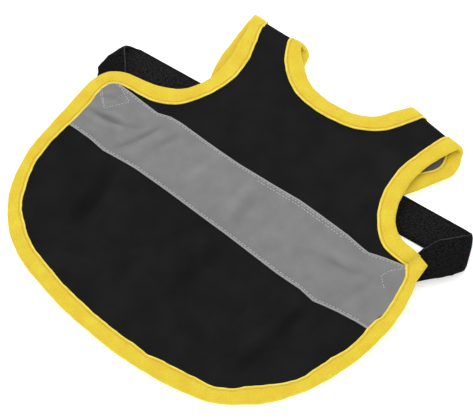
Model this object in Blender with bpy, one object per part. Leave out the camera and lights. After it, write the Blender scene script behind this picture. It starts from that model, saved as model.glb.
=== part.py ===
# Bound pet vest with a reflective band and an elastic belly strap, laid flat on its chest side.
# Lengths are millimetres until the last step, +Z is up and +Y runs towards the neck.
import bmesh
import bpy
import numpy as np

MM = 0.001

# Thicknesses and gaps
CLOTH = 1.0
LEAF = 1.0
BAND = 1.0
ELASTIC = 1.6
SEAM_GAP = 0.3

# Bias binding folded round a cut edge
BINDING_WIDTH = 12.5
BINDING_HALF = CLOTH / 2 + SEAM_GAP + LEAF
CHANNEL_HALF = CLOTH / 2 + SEAM_GAP
BINDING_TURN = (-90, -30, 30, 90)

# Heights of the middle of each layer above the floor
HEM_HEIGHT = BINDING_HALF
CHEST_HEIGHT = ELASTIC + SEAM_GAP + BINDING_HALF
BACK_HEIGHT = 9.5
STRAP_LOW = ELASTIC / 2
STRAP_HIGH = BACK_HEIGHT - BINDING_HALF - SEAM_GAP - ELASTIC / 2

# The back climbs from the hem on the floor to the raised wings and shoulders
CLIMB_START = -58.0
CLIMB_END = -3.0
CLIMB_STEPS = 9

# Spacing of the cross-sections along the bindings
LONG_STEP = 8.0
SHORT_STEP = 5.0
FOLD_STEPS = 3
CURVE_STEPS = 20
MERGE = 1e-4

# Reflective band across the back
BAND_LOW = -24.8
BAND_HIGH = 25.2
BAND_ENDS_BELOW = 45.0

# Elastic belly strap
STRAP_WIDTH = 28.0
STRAP_CENTRE = (0.0, 59.7)
STRAP_TILT = 4.24
FLAP_BEND_SHARE = 0.33

# Move that puts the bottom centre of the box at the origin
TO_ORIGIN = (-2.3, -1.35)

# Cut edges as laid, each row x, y
RIGHT_WING_TIP = (135.5, 39.5)
HEM_EDGE = (
    (136.8, 26.0),
    (140.4, 12.0),
    (143.4, -8.0),
    (142.6, -31.0),
    (137.8, -52.5),
    (131.0, -72.7),
    (122.4, -91.0),
    (110.8, -107.0),
    (96.0, -120.0),
    (79.0, -128.6),
    (60.0, -133.8),
    (40.0, -136.3),
    (20.0, -137.2),
    (0.0, -136.7),
    (-23.0, -135.1),
    (-48.0, -131.6),
    (-75.0, -125.0),
    (-96.2, -115.3),
    (-112.4, -101.8),
    (-125.0, -86.0),
    (-135.0, -60.0),
    (-138.8, -33.0),
    (-140.0, -8.0),
)
LEFT_WING_EDGE = (
    (-140.6, 9.0),
    (-139.8, 19.8),
    (-137.0, 27.4),
    (-132.4, 33.0),
    (-126.0, 36.8),
    (-117.0, 39.2),
    (-106.0, 40.5),
    (-96.6, 43.2),
    (-88.4, 48.8),
    (-82.6, 55.6),
    (-78.8, 62.6),
    (-76.3, 70.2),
    (-75.2, 78.0),
    (-75.4, 86.4),
    (-77.2, 96.0),
    (-79.9, 106.0),
    (-83.0, 117.0),
)
RIGHT_ARM_EDGE = (
    (92.2, 119.0),
    (89.2, 109.4),
    (87.5, 100.6),
    (87.0, 92.6),
    (87.6, 84.0),
    (89.4, 74.8),
    (92.2, 66.2),
    (96.2, 58.6),
    (101.6, 52.0),
    (108.2, 47.4),
    (116.0, 44.8),
    (126.0, 42.6),
)
NECK_EDGE = (
    (42.0, 127.2),
    (36.6, 118.4),
    (26.4, 110.6),
    (12.0, 106.8),
    (-3.0, 106.6),
    (-18.0, 110.8),
    (-29.6, 119.6),
    (-36.0, 125.8),
)
CHEST_LEFT_EDGE = (
    (-88.8, 121.0),
    (-87.2, 109.0),
    (-85.6, 96.0),
    (-82.6, 84.0),
    (-78.2, 72.0),
    (-71.0, 59.0),
    (-60.0, 47.6),
    (-45.0, 39.4),
    (-26.0, 35.4),
    (-5.0, 34.2),
)
CHEST_RIGHT_EDGE = (
    (16.0, 34.4),
    (36.0, 36.4),
    (54.0, 42.4),
    (68.0, 52.0),
    (78.4, 63.8),
    (87.2, 77.8),
    (93.8, 90.0),
    (99.6, 100.4),
    (103.0, 108.6),
    (103.0, 117.0),
)
NECK_DEEPER = 1.3

# Shoulder folds, where the neck edge and the arm edge of each strap meet them
RIGHT_SHOULDER = {"neck": (47.2, 135.6), "arm": (95.6, 128.9), "neck_drift": 0.5, "arm_drift": 0.36}
LEFT_SHOULDER = {"neck": (-40.8, 131.4), "arm": (-87.3, 130.8), "neck_drift": 0.6, "arm_drift": 0.28}

# Folds at the ends of the belly strap: where they cross it, their heading, the flap after them
# and how far the flap turns on its way to the wing
RIGHT_TURN = {"along_strap": 144.6, "heading": 119.0, "flap": 56.0, "bend": 0.0}
LEFT_TURN = {"along_strap": -142.3, "heading": 70.0, "flap": 44.0, "bend": 8.0}

COLOURS = {
    "black_cloth": ((0.016, 0.016, 0.017), 0.85),
    "yellow_binding": ((0.84, 0.63, 0.055), 0.7),
    "grey_band": ((0.25, 0.25, 0.25), 0.45),
    "black_elastic": ((0.013, 0.013, 0.014), 0.9),
}

CLIMB_ROWS = np.linspace(CLIMB_START, CLIMB_END, CLIMB_STEPS)


def eased(share):
    """A smooth step as the share runs from 0 to 1."""
    return share * share * (3 - 2 * share)


CLIMB_HEIGHTS = np.interp(
    eased(np.linspace(0, 1, CLIMB_STEPS)), (0, 1), (HEM_HEIGHT, BACK_HEIGHT)
)


def unit(vector):
    return np.array(vector, float) / np.linalg.norm(vector)


def heading(degrees):
    return np.array((np.cos(np.radians(degrees)), np.sin(np.radians(degrees))))


def fold_of(start, along, outward, high, low):
    """A half-round fold between two levels, beyond a straight line."""
    return {
        "start": np.array(start, float),
        "along": along,
        "outward": outward,
        "axis": (high + low) / 2,
        "radius": (high - low) / 2,
    }


def shoulder_fold(shoulder):
    along = unit(np.subtract(shoulder["arm"], shoulder["neck"]))
    outward = np.array((-along[1], along[0]))
    outward = outward * np.sign(outward[1])
    return fold_of(shoulder["neck"], along, outward, BACK_HEIGHT, CHEST_HEIGHT)


SHOULDERS = {"right": RIGHT_SHOULDER, "left": LEFT_SHOULDER}
FOLDS = {side: shoulder_fold(shoulder) for side, shoulder in SHOULDERS.items()}
NECK_MIDDLE = (RIGHT_SHOULDER["neck"][0] + LEFT_SHOULDER["neck"][0]) / 2


def draped(x, y, rise, layer, fold):
    """Where a point of the flat cloth lies, rise being its height on the cloth's outer side."""
    past = 0.0 if fold is None else float(np.dot((x, y) - fold["start"], fold["outward"]))
    if past > MERGE:
        turn = past / fold["radius"]
        out = fold["radius"] + rise
        spot = (x, y) + fold["outward"] * (out * np.sin(turn) - past)
        return (spot[0], spot[1], fold["axis"] + layer * out * np.cos(turn))
    if fold is not None and "level" in fold:
        return (x, y, fold["axis"] + layer * (fold["radius"] + rise))
    if layer > 0:
        return (x, y, np.interp(y, CLIMB_ROWS, CLIMB_HEIGHTS) + rise)
    return (x, y, CHEST_HEIGHT - rise)


def spaced_curve(rows, step):
    """Points evenly spaced along a smooth curve through the rows."""
    rows = np.array(rows, float)
    ends = np.vstack((2 * rows[0] - rows[1], rows, 2 * rows[-1] - rows[-2]))
    share = np.linspace(0, 1, CURVE_STEPS, endpoint=False)[:, None]
    pieces = []
    for before, here, there, after in zip(ends, ends[1:], ends[2:], ends[3:]):
        leaving = (there - before) / 2
        arriving = (after - here) / 2
        pieces.append(
            here
            + (there - here) * eased(share)
            + leaving * share * (1 - share) ** 2
            - arriving * share**2 * (1 - share)
        )
    fine = np.vstack(pieces + [rows[-1:]])
    along = np.concatenate(([0], np.cumsum(np.linalg.norm(np.diff(fine, axis=0), axis=1))))
    count = max(2, round(along[-1] / step))
    marks = np.linspace(0, along[-1], count + 1)
    return np.stack([np.interp(marks, along, fine[:, k]) for k in (0, 1)], axis=1)


def run_of(points, layer, side, fold=None):
    """Cross-section places along a polyline, each with the mitred way into the cloth."""
    points = np.array(points, float)
    ways = np.diff(points, axis=0)
    ways /= np.linalg.norm(ways, axis=1)[:, None]
    normals = side * layer * np.stack((ways[:, 1], -ways[:, 0]), axis=1)
    places = []
    for k, point in enumerate(points):
        before = normals[max(k - 1, 0)]
        after = normals[min(k, len(normals) - 1)]
        across = (before + after) / (1 + np.dot(before, after))
        places.append({"at": point, "across": across, "layer": layer, "fold": fold})
    return places


def over_fold(fold, reach, drift, into, layer, straight):
    """Places over a half-round fold: up one layer to its far side, then down the other layer.
    The last item of each pair is the place half a seam gap short of the far side."""
    half = np.pi * fold["radius"] / 2
    rows = np.linspace(0, half, FOLD_STEPS + 1)
    across = into * fold["along"] * np.hypot(1, drift)

    def place(past, level):
        if straight and level != layer:
            slid = drift * (2 * half - past)
        else:
            slid = drift * past
        spot = fold["start"] + fold["along"] * (reach + slid) + fold["outward"] * past
        return {"at": spot, "across": across, "layer": level, "fold": fold}

    short = half - SEAM_GAP / 2
    first = [place(past, layer) for past in rows]
    second = [place(past, -layer) for past in rows[-2::-1]]
    return {"first": first, "second": second, "seams": (place(short, layer), place(short, -layer))}


def channel_section():
    """The binding's U-shaped section: distance in from the edge, height off the cloth's middle."""
    turn = np.radians(BINDING_TURN)
    outer = [(BINDING_HALF * (1 - np.cos(a)), BINDING_HALF * np.sin(a)) for a in turn]
    inner = [(BINDING_HALF - CHANNEL_HALF * np.cos(a), CHANNEL_HALF * np.sin(a)) for a in turn]
    return (
        [(BINDING_WIDTH, -BINDING_HALF)]
        + outer
        + [(BINDING_WIDTH, BINDING_HALF), (BINDING_WIDTH, CHANNEL_HALF)]
        + inner[::-1]
        + [(BINDING_WIDTH, -CHANNEL_HALF)]
    )


def material_of(name):
    colour, roughness = COLOURS[name]
    material = bpy.data.materials.new(name)
    material.use_nodes = True
    shader = material.node_tree.nodes["Principled BSDF"]
    shader.inputs["Base Color"].default_value = (*colour, 1)
    shader.inputs["Roughness"].default_value = roughness
    shader.inputs["Metallic"].default_value = 0
    material.diffuse_color = (*colour, 1)
    return material


def finished(name, cloth, material, collection):
    bmesh.ops.recalc_face_normals(cloth, faces=cloth.faces)
    bmesh.ops.translate(cloth, verts=cloth.verts, vec=(*TO_ORIGIN, 0))
    bmesh.ops.scale(cloth, verts=cloth.verts, vec=(MM, MM, MM))
    mesh = bpy.data.meshes.new(name)
    cloth.to_mesh(mesh)
    cloth.free()
    mesh.materials.append(material)
    collection.objects.link(bpy.data.objects.new(name, mesh))


def sleeve(name, places, section, closed, material, collection):
    """A grid wrapped round one section at each place and merged along its seam."""
    around = len(section)
    spans = len(places) if closed else len(places) - 1
    cloth = bmesh.new()
    bmesh.ops.create_grid(cloth, x_segments=around, y_segments=spans, size=1)
    for vertex in cloth.verts:
        column = round((vertex.co.x + 1) / 2 * around) % around
        place = places[round((vertex.co.y + 1) / 2 * spans) % len(places)]
        inward, rise = section[column]
        x, y = place["at"] + place["across"] * inward
        vertex.co = draped(x, y, rise, place["layer"], place["fold"])
    bmesh.ops.remove_doubles(cloth, verts=cloth.verts, dist=MERGE)
    open_edges = [edge for edge in cloth.edges if edge.is_boundary]
    if open_edges:
        bmesh.ops.holes_fill(cloth, edges=open_edges)
    finished(name, cloth, material, collection)


def flat_sheet(places, inset):
    """One flat face inside the given distance from the cut edge."""
    cloth = bmesh.new()
    outline = [place["at"] + place["across"] * inset for place in places]
    cloth.faces.new([cloth.verts.new((x, y, 0)) for x, y in outline])
    return cloth


def creased(cloth, faces, point, normal, clear=False):
    """Cut the faces along a line, and drop what lies beyond it if clear is set."""
    edges = {edge for face in faces for edge in face.edges}
    verts = {vertex for face in faces for vertex in face.verts}
    bmesh.ops.bisect_plane(
        cloth,
        geom=[*verts, *edges, *faces],
        dist=MERGE,
        plane_co=(*point, 0),
        plane_no=(*normal, 0),
        clear_outer=clear,
    )


def climb_creases(cloth):
    for row in CLIMB_ROWS:
        creased(cloth, cloth.faces[:], (0, row), (0, 1))


def shoulder_creases(cloth):
    """A cut down the middle, then the creases of each strap in its own half."""
    creased(cloth, cloth.faces[:], (NECK_MIDDLE, 0), (1, 0))
    for side, fold in FOLDS.items():
        half = np.pi * fold["radius"] / 2
        for past in np.linspace(0, half, FOLD_STEPS + 1)[:-1]:
            own = [face for face in cloth.faces if side_of(face.calc_center_median().x) == side]
            creased(cloth, own, fold["start"] + fold["outward"] * past, fold["outward"])


def side_of(x):
    return "right" if x > NECK_MIDDLE else "left"


def thickened(cloth, low, high):
    """Turn flat faces into a slab between two heights off the cloth's middle."""
    bmesh.ops.translate(cloth, verts=cloth.verts, vec=(0, 0, low))
    grown = bmesh.ops.extrude_face_region(cloth, geom=cloth.faces[:], use_keep_orig=True)
    raised = [item for item in grown["geom"] if isinstance(item, bmesh.types.BMVert)]
    bmesh.ops.translate(cloth, verts=raised, vec=(0, 0, high - low))


def laid(cloth, layer):
    """Drape every vertex, each over the shoulder fold on its own side."""
    for vertex in cloth.verts:
        x, y, rise = vertex.co
        vertex.co = draped(x, y, rise, layer, FOLDS[side_of(x)])


def mitred_ends(hem, arm):
    """The two ends of the outer binding, cut along the wing tip's mitre half a gap apart."""
    tip = np.array(RIGHT_WING_TIP)
    hem_way = unit(hem[1]["at"] - tip)
    arm_way = unit(arm[-2]["at"] - tip)
    hem_in = np.array((hem_way[1], -hem_way[0]))
    arm_in = np.array((-arm_way[1], arm_way[0]))
    mitre = unit(hem_in + arm_in)
    ends = []
    for way, inward in ((hem_way, hem_in), (arm_way, arm_in)):
        slip = SEAM_GAP / 2 / abs(np.dot((-mitre[1], mitre[0]), way))
        across = mitre / np.dot(mitre, inward)
        ends.append({"at": tip + way * slip, "across": across, "layer": 1, "fold": None})
    corner = {"at": tip, "across": mitre / np.dot(mitre, hem_in), "layer": 1, "fold": None}
    return ends[0], ends[1], corner


def shoulder_crossings():
    """The arm edge and the neck edge of each strap over its fold."""
    crossings = {}
    for side, shoulder in SHOULDERS.items():
        fold = FOLDS[side]
        reach = np.linalg.norm(np.subtract(shoulder["arm"], shoulder["neck"]))
        crossings[side] = {
            "arm": over_fold(fold, reach, shoulder["arm_drift"], -1, 1, True),
            "neck": over_fold(fold, 0.0, shoulder["neck_drift"], 1, 1, False),
        }
    return crossings


def edge_runs(crossings):
    """The four runs of cut edge between the shoulder folds, and the one across the hem."""
    right, left = SHOULDERS["right"], SHOULDERS["left"]
    hem = spaced_curve((RIGHT_WING_TIP,) + HEM_EDGE + LEFT_WING_EDGE[:1], LONG_STEP)
    wing = spaced_curve(LEFT_WING_EDGE + (left["arm"],), SHORT_STEP)
    arm = spaced_curve((right["arm"],) + RIGHT_ARM_EDGE + (RIGHT_WING_TIP,), SHORT_STEP)
    chest_ends = [crossings[side]["arm"]["second"][-1]["at"] for side in ("left", "right")]
    chest = spaced_curve(
        (chest_ends[0],) + CHEST_LEFT_EDGE + CHEST_RIGHT_EDGE + (chest_ends[1],), LONG_STEP
    )
    neck = spaced_curve((right["neck"],) + NECK_EDGE + (left["neck"],), SHORT_STEP)
    slope, level = np.polyfit((left["neck"][0], right["neck"][0]), (left["neck"][1], right["neck"][1]), 1)
    fold_line = slope * neck[:, 0] + level
    chest_neck = np.stack((neck[:, 0], fold_line - NECK_DEEPER * (fold_line - neck[:, 1])), axis=1)
    return {
        "hem": run_of(np.vstack((hem, wing[1:])), 1, 1)[:-1],
        "arm": run_of(arm, 1, 1)[1:],
        "chest": run_of(chest, -1, 1)[1:-1],
        "neck": run_of(neck, 1, -1)[1:-1],
        "chest_neck": run_of(chest_neck[::-1], -1, -1)[1:-1],
    }


def strap_side(turn, sign):
    """Places from the strap's run on the floor over its fold and along the flap to its end."""
    run_way = heading(STRAP_TILT)
    way = run_way * sign
    along = heading(turn["heading"])
    outward = np.array((along[1], -along[0])) * sign
    start = np.array(STRAP_CENTRE) + run_way * turn["along_strap"]
    fold = fold_of(start, along, outward, STRAP_HIGH, STRAP_LOW)
    fold["level"] = True
    drift = np.dot(way, along) / np.dot(way, outward)
    folded = over_fold(fold, 0.0, drift, 1, -1, True)
    over = folded["first"] + folded["second"]
    landing = over[-1]["at"]
    flap_way = along * np.dot(way, along) - outward * np.dot(way, outward)
    clear = STRAP_WIDTH / 2 * abs(drift) + SEAM_GAP
    bend_at = landing + flap_way * (clear + turn["flap"] * FLAP_BEND_SHARE)
    turned = np.arctan2(flap_way[1], flap_way[0]) + np.radians(turn["bend"])
    tip = bend_at + heading(np.degrees(turned)) * turn["flap"] * (1 - FLAP_BEND_SHARE)
    flap = run_of([landing + flap_way * clear, bend_at, tip], 1, 1, fold)
    for place in flap:
        place["across"] = place["across"] * np.sign(np.dot(place["across"], along))
    return over + flap


def build():
    for old in list(bpy.data.objects):
        bpy.data.objects.remove(old, do_unlink=True)
    collection = bpy.data.collections.new("pet_vest")
    bpy.context.scene.collection.children.link(collection)
    black, yellow = material_of("black_cloth"), material_of("yellow_binding")
    grey, elastic = material_of("grey_band"), material_of("black_elastic")

    crossings = shoulder_crossings()
    runs = edge_runs(crossings)
    left_arm, right_arm = crossings["left"]["arm"], crossings["right"]["arm"]
    left_neck, right_neck = crossings["left"]["neck"], crossings["right"]["neck"]
    hem_end, arm_end, corner = mitred_ends(runs["hem"], runs["arm"])

    outer_places = (
        [hem_end]
        + runs["hem"][1:]
        + left_arm["first"]
        + left_arm["second"]
        + runs["chest"]
        + right_arm["second"][::-1]
        + right_arm["first"][::-1]
        + runs["arm"][:-1]
        + [arm_end]
    )
    neck_places = (
        runs["neck"]
        + left_neck["first"]
        + left_neck["second"]
        + runs["chest_neck"]
        + right_neck["second"][::-1]
        + right_neck["first"][::-1]
    )
    section = channel_section()
    sleeve("outer_binding", outer_places, section, False, yellow, collection)
    sleeve("neck_binding", neck_places, section, True, yellow, collection)

    back_places = (
        [corner]
        + runs["hem"][1:]
        + left_arm["first"][:-1]
        + [left_arm["seams"][0], left_neck["seams"][0]]
        + left_neck["first"][-2::-1]
        + runs["neck"][::-1]
        + right_neck["first"][:-1]
        + [right_neck["seams"][0], right_arm["seams"][0]]
        + right_arm["first"][-2::-1]
        + runs["arm"][:-1]
    )
    back = flat_sheet(back_places, BINDING_HALF)
    climb_creases(back)
    shoulder_creases(back)
    thickened(back, -CLOTH / 2, CLOTH / 2)
    laid(back, 1)
    finished("back_panel", back, black, collection)

    chest_places = (
        [left_arm["seams"][1]]
        + left_arm["second"]
        + runs["chest"]
        + right_arm["second"][::-1]
        + [right_arm["seams"][1], right_neck["seams"][1]]
        + right_neck["second"]
        + runs["chest_neck"][::-1]
        + left_neck["second"][::-1]
        + [left_neck["seams"][1]]
    )
    chest = flat_sheet(chest_places, BINDING_HALF)
    shoulder_creases(chest)
    thickened(chest, -CLOTH / 2, CLOTH / 2)
    laid(chest, -1)
    finished("chest_panel", chest, black, collection)

    band_places = [corner] + [place for place in runs["hem"][1:] if place["at"][1] < BAND_ENDS_BELOW]
    band = flat_sheet(band_places, BINDING_WIDTH + SEAM_GAP)
    creased(band, band.faces[:], (0, BAND_HIGH), (0, 1), clear=True)
    creased(band, band.faces[:], (0, BAND_LOW), (0, -1), clear=True)
    climb_creases(band)
    thickened(band, CHANNEL_HALF, CHANNEL_HALF + BAND)
    laid(band, 1)
    finished("reflective_band", band, grey, collection)

    strap_half = STRAP_WIDTH / 2
    flat_section = [
        (-strap_half, -ELASTIC / 2),
        (strap_half, -ELASTIC / 2),
        (strap_half, ELASTIC / 2),
        (-strap_half, ELASTIC / 2),
    ]
    strap_places = strap_side(LEFT_TURN, -1)[::-1] + strap_side(RIGHT_TURN, 1)
    sleeve("belly_strap", strap_places, flat_section, False, elastic, collection)


build()
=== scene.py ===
import math

import bmesh
import bpy
import numpy as np
from mathutils import Matrix, Vector


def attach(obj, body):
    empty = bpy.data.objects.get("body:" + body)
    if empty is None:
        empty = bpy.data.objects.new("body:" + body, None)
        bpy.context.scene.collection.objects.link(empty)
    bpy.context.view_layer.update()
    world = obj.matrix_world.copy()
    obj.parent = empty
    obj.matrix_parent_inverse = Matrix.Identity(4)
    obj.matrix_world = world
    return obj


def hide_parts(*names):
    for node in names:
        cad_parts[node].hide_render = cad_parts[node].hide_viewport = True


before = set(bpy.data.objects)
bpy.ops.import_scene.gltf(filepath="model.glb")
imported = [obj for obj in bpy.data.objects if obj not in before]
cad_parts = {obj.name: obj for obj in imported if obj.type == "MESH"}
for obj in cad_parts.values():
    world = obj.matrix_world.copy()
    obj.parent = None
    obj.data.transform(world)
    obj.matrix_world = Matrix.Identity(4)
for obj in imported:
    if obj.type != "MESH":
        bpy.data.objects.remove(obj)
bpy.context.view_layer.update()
print("frame loaded, nodes:", ", ".join(sorted(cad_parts)))

# how the vest is laid out, in mm: x across, y towards the neck, rise off the cloth's middle
garment = {
    "seamGap": 0.3,
    "seamFromTip": 8.7,
    "seamSlip": 0.02,
    "squareFromTip": 14.0,
    "bindingWidth": 12.5,
    "bindingHalf": 1.8,
    "channelHalf": 0.8,
    "hemHeight": 1.8,
    "chestHeight": 3.7,
    "backHeight": 9.5,
    "climbStart": -58.0,
    "climbEnd": -3.0,
    # how each layer grows calm towards the shoulders, from y to y
    "backCalm": (118, 104),
    "chestCalm": (120, 108),
    "toOrigin": (-2.3, -1.35),
    "neckDeeper": 1.3,
    "leanReach": 9.0,
    "pathStep": 1.5,
    "curveSteps": 20,
    "curveRounds": 6,
    "foldSteps": 5,
    "weldDistance": 0.0001,
}

# cut edges as laid, each row x, y
rightWingTip = (135.5, 39.5)
hemEdge = (
    (136.8, 26), (140.4, 12), (143.4, -8), (142.6, -31), (137.8, -52.5), (131, -72.7),
    (122.4, -91), (110.8, -107), (96, -120), (79, -128.6), (60, -133.8), (40, -136.3),
    (20, -137.2), (0, -136.7), (-23, -135.1), (-48, -131.6), (-75, -125), (-96.2, -115.3),
    (-112.4, -101.8), (-125, -86), (-135, -60), (-138.8, -33), (-140, -8),
)
leftWingEdge = (
    (-140.6, 9), (-139.8, 19.8), (-137, 27.4), (-132.4, 33), (-126, 36.8), (-117, 39.2),
    (-106, 40.5), (-96.6, 43.2), (-88.4, 48.8), (-82.6, 55.6), (-78.8, 62.6), (-76.3, 70.2),
    (-75.2, 78), (-75.4, 86.4), (-77.2, 96), (-79.9, 106), (-83, 117),
)
rightArmEdge = (
    (92.2, 119), (89.2, 109.4), (87.5, 100.6), (87, 92.6), (87.6, 84), (89.4, 74.8), (92.2, 66.2),
    (96.2, 58.6), (101.6, 52), (108.2, 47.4), (116, 44.8), (126, 42.6),
)
neckEdge = (
    (42, 127.2), (36.6, 118.4), (26.4, 110.6), (12, 106.8), (-3, 106.6), (-18, 110.8),
    (-29.6, 119.6), (-36, 125.8),
)
chestLeftEdge = (
    (-88.8, 121), (-87.2, 109), (-85.6, 96), (-82.6, 84), (-78.2, 72), (-71, 59), (-60, 47.6),
    (-45, 39.4), (-26, 35.4), (-5, 34.2),
)
chestRightEdge = (
    (16, 34.4), (36, 36.4), (54, 42.4), (68, 52), (78.4, 63.8), (87.2, 77.8), (93.8, 90),
    (99.6, 100.4), (103, 108.6), (103, 117),
)
shoulders = {
    "right": {"neck": (47.2, 135.6), "arm": (95.6, 128.9), "neckDrift": 0.5, "armDrift": 0.36},
    "left": {"neck": (-40.8, 131.4), "arm": (-87.3, 130.8), "neckDrift": 0.6, "armDrift": 0.28},
}

# low waves of the back, how creases fade at their ends and wander, and how far crease heights
# darken troughs and lighten ridges in the colour, as painted shade and painted highlight
waves = {
    "raise": 0.2,
    "broad": 0.22,
    "fine": 0.16,
    "fade": 0.7,
    "wander": 0.25,
    "wanderPace": 7.3,
    "lightShadeTint": (-1.5, 0.4),
}

# creases of the back, each row from x, y to x, y, bow, width, height (a trough is below nought)
backCreases = (
    (-72, -22, -61, -98, 4, 6, 2.4),
    (-84, -28, -74, -84, 2, 8, -1.6),
    (6, -30, -8, -112, -9, 5.5, 2.1),
    (20, -34, 16, -92, -6, 7, -1.2),
    (83, -30, 75, -112, 1, 2.6, 2.3),
    (89, -34, 82, -104, 2, 3.6, -1.3),
    (-70, -109, -24, -97, 2, 5, 1.3),
    (24, -76, 58, -88, -2, 3.6, 1.1),
    (-42, 84, -24, 93, 2, 4, 1),
    (58, 96, 84, 70, 3, 7, 1.1),
    (-60, 92, -44, 54, -4, 8, 1),
    (20, 88, 70, 40, 6, 10, 1),
    (-126, -5.5, -82, 8, -3.5, 1.7, -1.25),
    (-124, -10, -92, -3, -2, 2.6, 1),
    (-114, -2, -96, 3, 2, 1.6, 0.7),
    (-75, 16, -90, -21, 2, 1.7, -1.15),
    (-70, 12, -82, -22, 2, 3.4, 0.9),
    (-58, 20, -66, -8, -2, 2.6, -0.6),
    (-30, 22, -36, -16, 2, 3.4, 0.5),
    (5, 20, 9, -18, -2, 3.2, 0.6),
    (14, 14, 18, -20, -2, 5, -0.7),
    (60, -5, 116, 8, 3, 2.4, -0.7),
    (113, 8, 104, -20, 2, 3, -0.6),
    (70, 6, 104, 16, -2, 3.6, 0.6),
    (-128, 4, -118, 20, 1, 1.8, 0.5),
    (-124, 8, -108, 14, 2, 1.5, -0.6),
    (-119, 3, -112, 22, -2, 1.6, 0.5),
)
chestCreases = (
    (-50, 60, 60, 74, 5, 8, 0.35),
    (-20, 98, 34, 84, -4, 7, 0.3),
    (20, 50, 58, 92, 3, 6, 0.3),
)


def eased(value, start, end):
    share = np.clip((value - start) / (end - start), 0, 1)
    return share * share * (3 - 2 * share)


def heading(degrees):
    return np.array((math.cos(math.radians(degrees)), math.sin(math.radians(degrees))))


def lengthAlong(spots):
    steps = np.linalg.norm(np.diff(np.array(spots), axis=0), axis=1)
    return np.concatenate(([0], np.cumsum(steps)))


def smoothCurve(rows):
    rows = np.array(rows, float)
    ends = np.vstack((2 * rows[0] - rows[1], rows, 2 * rows[-1] - rows[-2]))
    share = np.linspace(0, 1, garment["curveSteps"], endpoint=False)[:, None]
    rise = eased(share, 0, 1)
    pieces = []
    for before, here, there, after in zip(ends, ends[1:], ends[2:], ends[3:]):
        leaving = (there - before) / 2 * share * (1 - share) ** 2
        arriving = (after - here) / 2 * share**2 * (1 - share)
        pieces.append(here + (there - here) * rise + leaving - arriving)
    fine = np.vstack(pieces + [rows[-1:]])
    along = lengthAlong(fine)
    marks = np.linspace(0, along[-1], max(2, round(along[-1] / garment["pathStep"])) + 1)
    curve = np.stack([np.interp(marks, along, fine[:, k]) for k in (0, 1)], axis=1)
    for _ in range(garment["curveRounds"]):  # rounds the corners that the rows leave
        curve[1:-1] = curve[1:-1] / 2 + (curve[:-2] + curve[2:]) / 4
    return curve


def creaseHeight(rows, x, y):
    height = np.zeros_like(x)
    for x0, y0, x1, y1, bow, width, depth in rows:
        length = math.hypot(x1 - x0, y1 - y0)
        wayX, wayY = (x1 - x0) / length, (y1 - y0) / length
        along = ((x - x0) * wayX + (y - y0) * wayY) / length
        inside = np.clip(along, 0, 1)
        off = (y - y0) * wayX - (x - x0) * wayY - bow * 4 * inside * (1 - inside)
        fade = np.sin(math.pi * inside) ** waves["fade"]
        wander = 1 + waves["wander"] * np.sin(along * waves["wanderPace"] + x0)
        height += depth * fade * wander * np.exp(-((off / width) ** 2))
    return height


# crease heights kept on each vertex to colour the cloth: painted shade in troughs, painted
# highlight on ridges
def paintCreaseShade(cloth):
    creaseShadeAndTone = cloth.verts.layers.float.new("creaseShadeAndTone")
    spots = np.array([vertex.co[:] for vertex in cloth.verts])
    heights = creaseHeight(backCreases, spots[:, 0], spots[:, 1])
    for vertex, height in zip(cloth.verts, np.clip(heights, *waves["lightShadeTint"])):
        vertex[creaseShadeAndTone] = float(height)


def makeFold(start, along, outward, high, low):
    return {
        "start": np.array(start, float),
        "along": along,
        "outward": outward,
        "axis": (high + low) / 2,
        "radius": (high - low) / 2,
    }


def makeShoulderFold(shoulder):
    along = np.subtract(shoulder["arm"], shoulder["neck"])
    along = along / np.linalg.norm(along)
    outward = np.array((-along[1], along[0])) * np.sign(along[0])
    return makeFold(shoulder["neck"], along, outward, garment["backHeight"], garment["chestHeight"])


folds = {side: makeShoulderFold(shoulder) for side, shoulder in shoulders.items()}
neckMiddle = (shoulders["right"]["neck"][0] + shoulders["left"]["neck"][0]) / 2


def layerHeight(x, y, layer):
    if layer < 0:
        calm = eased(y, *garment["chestCalm"])
        return garment["chestHeight"] + creaseHeight(chestCreases, x, y) * calm
    share = eased(y, garment["climbStart"], garment["climbEnd"])
    height = garment["hemHeight"] + (garment["backHeight"] - garment["hemHeight"]) * share
    broad = waves["broad"] * np.sin(x / 17 + 0.6) * np.sin(y / 21 + 1.1)
    ripple = broad + waves["fine"] * np.sin(x / 9.5 + y / 13)
    wave = creaseHeight(backCreases, x, y) + ripple + waves["raise"]
    wave = wave * eased(y, *garment["backCalm"])
    return np.maximum(height + wave, garment["hemHeight"])


def drape(points, layer, fold):
    points = np.atleast_2d(np.array(points, float))
    x, y, rise = points.T
    if fold is not None and "level" in fold:
        height = np.full(len(points), fold["axis"] + layer * fold["radius"]) + layer * rise
    else:
        height = layerHeight(x, y, layer) + layer * rise
    laid = np.stack((x, y, height), axis=1)
    if fold is None:
        return laid
    past = (points[:, :2] - fold["start"]) @ fold["outward"]
    if "bow" in fold:
        beside = (points[:, :2] - fold["start"]) @ fold["along"]
        pushed = np.interp(beside, *zip(*fold["bow"])) * eased(past, -fold["bowReach"], 0)
        laid[:, :2] += fold["outward"] * pushed[:, None]
    over = past > garment["weldDistance"]
    turn = past[over] / fold["radius"]
    out = fold["radius"] + rise[over]
    laid[over, :2] += fold["outward"] * (out * np.sin(turn) - past[over])[:, None]
    laid[over, 2] = fold["axis"] + layer * out * np.cos(turn)
    return laid


# paths along the cut edges, as places that each hold the way into the cloth
def makeRun(points, layer, side, fold=None):
    ways = np.diff(points, axis=0)
    ways /= np.linalg.norm(ways, axis=1)[:, None]
    normals = side * layer * np.stack((ways[:, 1], -ways[:, 0]), axis=1)
    places = []
    for k, point in enumerate(points):
        before = normals[max(k - 1, 0)]
        after = normals[min(k, len(normals) - 1)]
        across = (before + after) / (1 + np.dot(before, after))
        places.append({"at": point, "across": across, "layer": layer, "fold": fold})
    return places


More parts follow.
